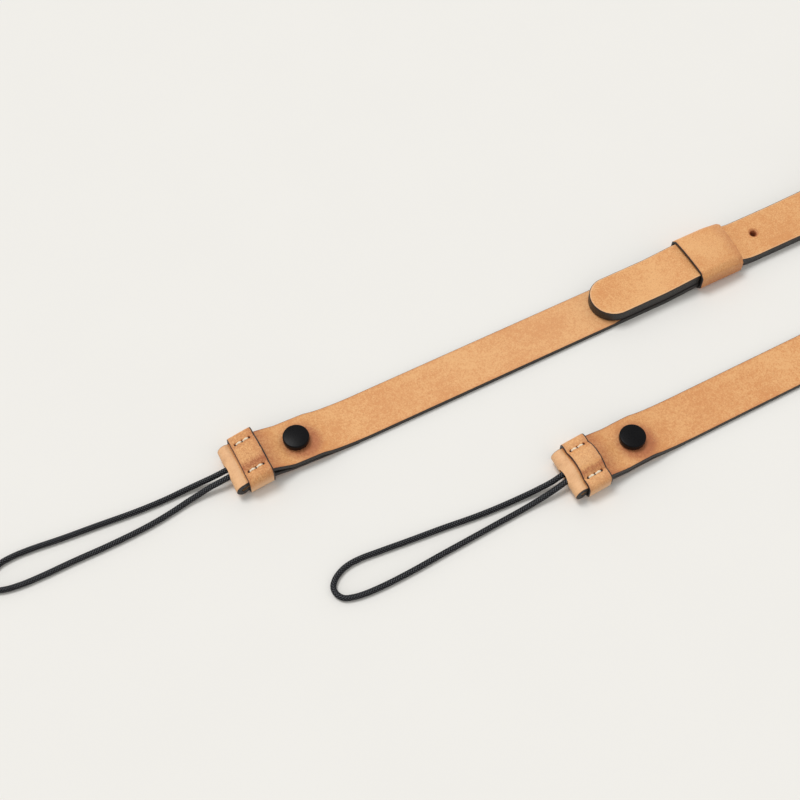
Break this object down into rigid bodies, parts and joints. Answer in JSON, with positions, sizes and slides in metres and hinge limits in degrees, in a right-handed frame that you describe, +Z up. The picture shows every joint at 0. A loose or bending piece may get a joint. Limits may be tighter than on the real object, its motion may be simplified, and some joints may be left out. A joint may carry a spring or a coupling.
{
  "type": "camera neck strap",
  "caption": "Leather camera neck strap lying in a long loop, with adjustable tongues in slide keepers and folded ends that hold thin cord loops.",
  "frame": {"origin": "on the table, under the middle of the leather's bounding box", "axes": "+X along the legs from the cord loops to the neck bend, +Y to the long leg, +Z up from the table"},
  "size_m": [0.6083, 0.0658, 0.0152],
  "materials": {
    "leather": "tan vegetable-tanned leather with black painted edges",
    "black_metal": "satin black",
    "cord": "black braided cord"
  },
  "bodies": {
    "root": {"neck_strap": "leather", "end_strap_a": "leather", "end_strap_b": "leather", "end_keeper_a": "leather", "end_keeper_b": "leather", "slide_keeper_a": "leather", "slide_keeper_b": "leather", "stud_a": "black_metal", "stud_b": "black_metal", "adjust_stud_a": "black_metal", "adjust_stud_b": "black_metal", "cord_loop_a": "cord", "cord_loop_b": "cord", "cord_knot_a": "cord", "cord_knot_b": "cord"}
  },
  "joints": []
}
